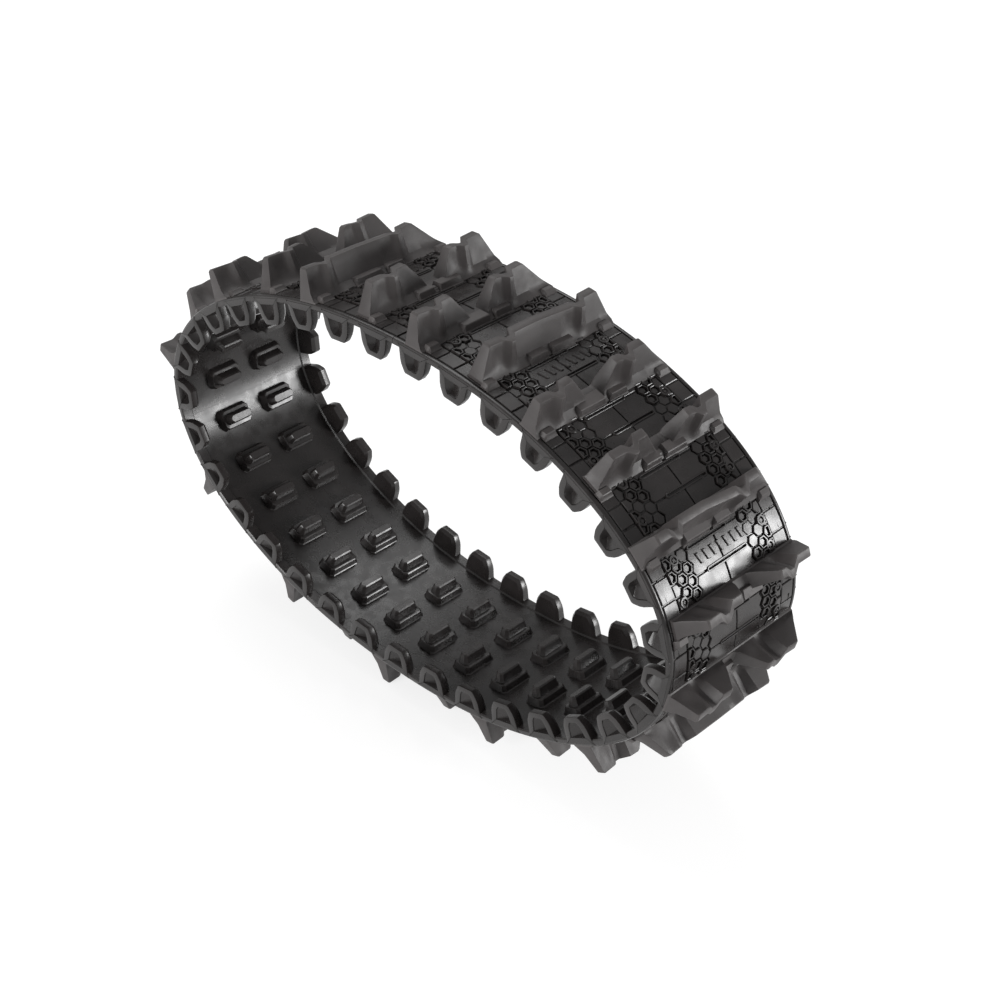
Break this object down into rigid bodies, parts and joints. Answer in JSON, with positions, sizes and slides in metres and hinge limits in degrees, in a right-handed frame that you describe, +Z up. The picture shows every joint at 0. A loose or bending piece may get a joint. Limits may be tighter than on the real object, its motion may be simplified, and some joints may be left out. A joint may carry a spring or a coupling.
{
  "type": "rubber track",
  "caption": "Endless rubber crawler track: an oval band with tall notched tread bars outside, drive lugs and edge teeth inside, that flexes flatter or rounder.",
  "frame": {"origin": "centre of the box on the floor, under the middle of the loop", "axes": "+X along the long axis of the oval, +Y across the band, +Z up; the band runs clockwise seen from -Y"},
  "size_m": [0.2588, 0.062, 0.1579],
  "materials": {
    "band_rubber": "semi-gloss moulded",
    "tread_rubber": "matt moulded"
  },
  "bodies": {
    "section_01": {"band_section_01": "band_rubber", "tread_bar_01": "tread_rubber"},
    "section_02": {"band_section_02": "band_rubber", "tread_bar_02": "tread_rubber"},
    "section_03": {"band_section_03": "band_rubber", "tread_bar_03": "tread_rubber"},
    "section_04": {"band_section_04": "band_rubber", "tread_bar_04": "tread_rubber"},
    "section_05": {"band_section_05": "band_rubber", "tread_bar_05": "tread_rubber"},
    "section_06": {"band_section_06": "band_rubber", "tread_bar_06": "tread_rubber"},
    "section_07": {"band_section_07": "band_rubber", "tread_bar_07": "tread_rubber"},
    "section_08": {"band_section_08": "band_rubber", "tread_bar_08": "tread_rubber"},
    "section_09": {"band_section_09": "band_rubber", "tread_bar_09": "tread_rubber"},
    "section_10": {"band_section_10": "band_rubber", "tread_bar_10": "tread_rubber"},
    "section_11": {"band_section_11": "band_rubber", "tread_bar_11": "tread_rubber"},
    "section_12": {"band_section_12": "band_rubber", "tread_bar_12": "tread_rubber"},
    "section_13": {"band_section_13": "band_rubber", "tread_bar_13": "tread_rubber"},
    "section_14": {"band_section_14": "band_rubber", "tread_bar_14": "tread_rubber"},
    "section_15": {"band_section_15": "band_rubber", "tread_bar_15": "tread_rubber"},
    "section_16": {"band_section_16": "band_rubber", "tread_bar_16": "tread_rubber"},
    "section_17": {"band_section_17": "band_rubber", "tread_bar_17": "tread_rubber"},
    "section_18": {"band_section_18": "band_rubber", "tread_bar_18": "tread_rubber"},
    "section_19": {"band_section_19": "band_rubber", "tread_bar_19": "tread_rubber"},
    "section_20": {"band_section_20": "band_rubber", "tread_bar_20": "tread_rubber"},
    "section_21": {"band_section_21": "band_rubber", "tread_bar_21": "tread_rubber"},
    "section_22": {"band_section_22": "band_rubber", "tread_bar_22": "tread_rubber"},
    "section_23": {"band_section_23": "band_rubber", "tread_bar_23": "tread_rubber"},
    "section_24": {"band_section_24": "band_rubber", "tread_bar_24": "tread_rubber"}
  },
  "joints": [
    {"name": "hinge_13", "type": "hinge", "parent": "section_13", "child": "section_14", "pos_m": [-0.02864, 0, 0.01419], "axis": [0, 1, 0], "range_deg": [-4.38, 6.05], "stiffness_Nm_per_rad": 8.271, "springref_deg": 0.29},
    {"name": "hinge_14", "type": "hinge", "parent": "section_14", "child": "section_15", "pos_m": [-0.04641, 0, 0.01745], "axis": [0, 1, 0], "range_deg": [-1.59, 2.17], "stiffness_Nm_per_rad": 6.906, "springref_deg": 0.22},
    {"name": "hinge_15", "type": "hinge", "parent": "section_15", "child": "section_16", "pos_m": [-0.06369, 0, 0.02269], "axis": [0, 1, 0], "range_deg": [-0.57, 0.75], "stiffness_Nm_per_rad": 5.818, "springref_deg": 0.12},
    {"name": "hinge_16", "type": "hinge", "parent": "section_16", "child": "section_17", "pos_m": [-0.09541, 0, 0.03961], "axis": [0, 1, 0], "range_deg": [-3.78, 2.75], "stiffness_Nm_per_rad": 4.318, "springref_deg": -0.15},
    {"name": "hinge_17", "type": "hinge", "parent": "section_17", "child": "section_18", "pos_m": [-0.10819, 0, 0.05212], "axis": [0, 1, 0], "range_deg": [-6.17, 4.47], "stiffness_Nm_per_rad": 3.746, "springref_deg": -0.3},
    {"name": "hinge_18", "type": "hinge", "parent": "section_18", "child": "section_19", "pos_m": [-0.11773, 0, 0.08543], "axis": [0, 1, 0], "range_deg": [-7.43, 5.38], "stiffness_Nm_per_rad": 2.46, "springref_deg": -0.58},
    {"name": "hinge_19", "type": "hinge", "parent": "section_19", "child": "section_20", "pos_m": [-0.11173, 0, 0.10206], "axis": [0, 1, 0], "range_deg": [-3.83, 2.78], "stiffness_Nm_per_rad": 1.756, "springref_deg": -0.73},
    {"name": "hinge_20", "type": "hinge", "parent": "section_20", "child": "section_21", "pos_m": [-0.10022, 0, 0.11567], "axis": [0, 1, 0], "range_deg": [-4.31, 3.13], "stiffness_Nm_per_rad": 1.139, "springref_deg": -0.89},
    {"name": "hinge_21", "type": "hinge", "parent": "section_21", "child": "section_22", "pos_m": [-0.06935, 0, 0.13394], "axis": [0, 1, 0], "range_deg": [-0.274, 0.225], "stiffness_Nm_per_rad": 0.3447, "springref_deg": -1.39},
    {"name": "hinge_22", "type": "hinge", "parent": "section_22", "child": "section_23", "pos_m": [-0.05223, 0, 0.13967], "axis": [0, 1, 0], "range_deg": [-1.58, 2.15], "stiffness_Nm_per_rad": 0.1441, "springref_deg": -1.89},
    {"name": "hinge_23", "type": "hinge", "parent": "section_23", "child": "section_24", "pos_m": [-0.03454, 0, 0.14336], "axis": [0, 1, 0], "range_deg": [-4.36, 6.02], "stiffness_Nm_per_rad": 0.04051, "springref_deg": -2.89},
    {"name": "hinge_12", "type": "hinge", "parent": "section_13", "child": "section_12", "pos_m": [0.00751, 0, 0.01237], "axis": [0, -1, 0], "range_deg": [-6.75, 9.33], "stiffness_Nm_per_rad": 10.17, "springref_deg": 0.32},
    {"name": "hinge_11", "type": "hinge", "parent": "section_12", "child": "section_11", "pos_m": [0.02557, 0, 0.01345], "axis": [0, -1, 0], "range_deg": [-2.86, 3.93], "stiffness_Nm_per_rad": 8.44, "springref_deg": 0.31},
    {"name": "hinge_10", "type": "hinge", "parent": "section_11", "child": "section_10", "pos_m": [0.04344, 0, 0.01618], "axis": [0, -1, 0], "range_deg": [-2.64, 3.62], "stiffness_Nm_per_rad": 7.045, "springref_deg": 0.24},
    {"name": "hinge_09", "type": "hinge", "parent": "section_10", "child": "section_09", "pos_m": [0.07761, 0, 0.02766], "axis": [0, -1, 0], "range_deg": [-0.87, 0.66], "stiffness_Nm_per_rad": 5.067, "springref_deg": 0.02},
    {"name": "hinge_08", "type": "hinge", "parent": "section_09", "child": "section_08", "pos_m": [0.09317, 0, 0.03671], "axis": [0, -1, 0], "range_deg": [-3.46, 2.52], "stiffness_Nm_per_rad": 4.393, "springref_deg": -0.12},
    {"name": "squeeze_hinge", "type": "hinge", "parent": "section_08", "child": "section_07", "pos_m": [0.11558, 0, 0.0639], "axis": [0, -1, 0], "range_deg": [-7, 5], "stiffness_Nm_per_rad": 3.226, "springref_deg": -0.41},
    {"name": "hinge_06", "type": "hinge", "parent": "section_07", "child": "section_06", "pos_m": [0.11801, 0, 0.08138], "axis": [0, -1, 0], "range_deg": [-4.42, 3.21], "stiffness_Nm_per_rad": 2.544, "springref_deg": -0.56},
    {"name": "hinge_05", "type": "hinge", "parent": "section_06", "child": "section_05", "pos_m": [0.11302, 0, 0.09833], "axis": [0, -1, 0], "range_deg": [-6.11, 4.42], "stiffness_Nm_per_rad": 1.834, "springref_deg": -0.7},
    {"name": "hinge_04", "type": "hinge", "parent": "section_05", "child": "section_04", "pos_m": [0.08801, 0, 0.12346], "axis": [0, -1, 0], "range_deg": [-3.25, 2.37], "stiffness_Nm_per_rad": 0.717, "springref_deg": -1.06},
    {"name": "hinge_03", "type": "hinge", "parent": "section_04", "child": "section_03", "pos_m": [0.07206, 0, 0.13187], "axis": [0, -1, 0], "range_deg": [-0.58, 0.44], "stiffness_Nm_per_rad": 0.3743, "springref_deg": -1.35},
    {"name": "hinge_02", "type": "hinge", "parent": "section_03", "child": "section_02", "pos_m": [0.05513, 0, 0.13813], "axis": [0, -1, 0], "range_deg": [-1.64, 2.24], "stiffness_Nm_per_rad": 0.1608, "springref_deg": -1.81},
    {"name": "hinge_01", "type": "hinge", "parent": "section_02", "child": "section_01", "pos_m": [0.01964, 0, 0.14473], "axis": [0, -1, 0], "range_deg": [-5.45, 7.53], "stiffness_Nm_per_rad": 0.01004, "springref_deg": -3.42}
  ],
  "couplings": [
    {"joint": "hinge_13", "follows": "squeeze_hinge", "ratio": -0.8335},
    {"joint": "hinge_14", "follows": "squeeze_hinge", "ratio": -0.2898},
    {"joint": "hinge_15", "follows": "squeeze_hinge", "ratio": -0.0908},
    {"joint": "hinge_16", "follows": "squeeze_hinge", "ratio": 0.5156},
    {"joint": "hinge_17", "follows": "squeeze_hinge", "ratio": 0.8501},
    {"joint": "hinge_18", "follows": "squeeze_hinge", "ratio": 1.0271},
    {"joint": "hinge_19", "follows": "squeeze_hinge", "ratio": 0.5219},
    {"joint": "hinge_20", "follows": "squeeze_hinge", "ratio": 0.5899},
    {"joint": "hinge_21", "follows": "squeeze_hinge", "ratio": 0.0244},
    {"joint": "hinge_22", "follows": "squeeze_hinge", "ratio": -0.2871},
    {"joint": "hinge_23", "follows": "squeeze_hinge", "ratio": -0.8292},
    {"joint": "hinge_12", "follows": "squeeze_hinge", "ratio": -1.2933},
    {"joint": "hinge_11", "follows": "squeeze_hinge", "ratio": -0.5364},
    {"joint": "hinge_10", "follows": "squeeze_hinge", "ratio": -0.4935},
    {"joint": "hinge_09", "follows": "squeeze_hinge", "ratio": 0.108},
    {"joint": "hinge_08", "follows": "squeeze_hinge", "ratio": 0.471},
    {"joint": "hinge_06", "follows": "squeeze_hinge", "ratio": 0.6044},
    {"joint": "hinge_05", "follows": "squeeze_hinge", "ratio": 0.8415},
    {"joint": "hinge_04", "follows": "squeeze_hinge", "ratio": 0.4415},
    {"joint": "hinge_03", "follows": "squeeze_hinge", "ratio": 0.0666},
    {"joint": "hinge_02", "follows": "squeeze_hinge", "ratio": -0.2991},
    {"joint": "hinge_01", "follows": "squeeze_hinge", "ratio": -1.0411}
  ]
}
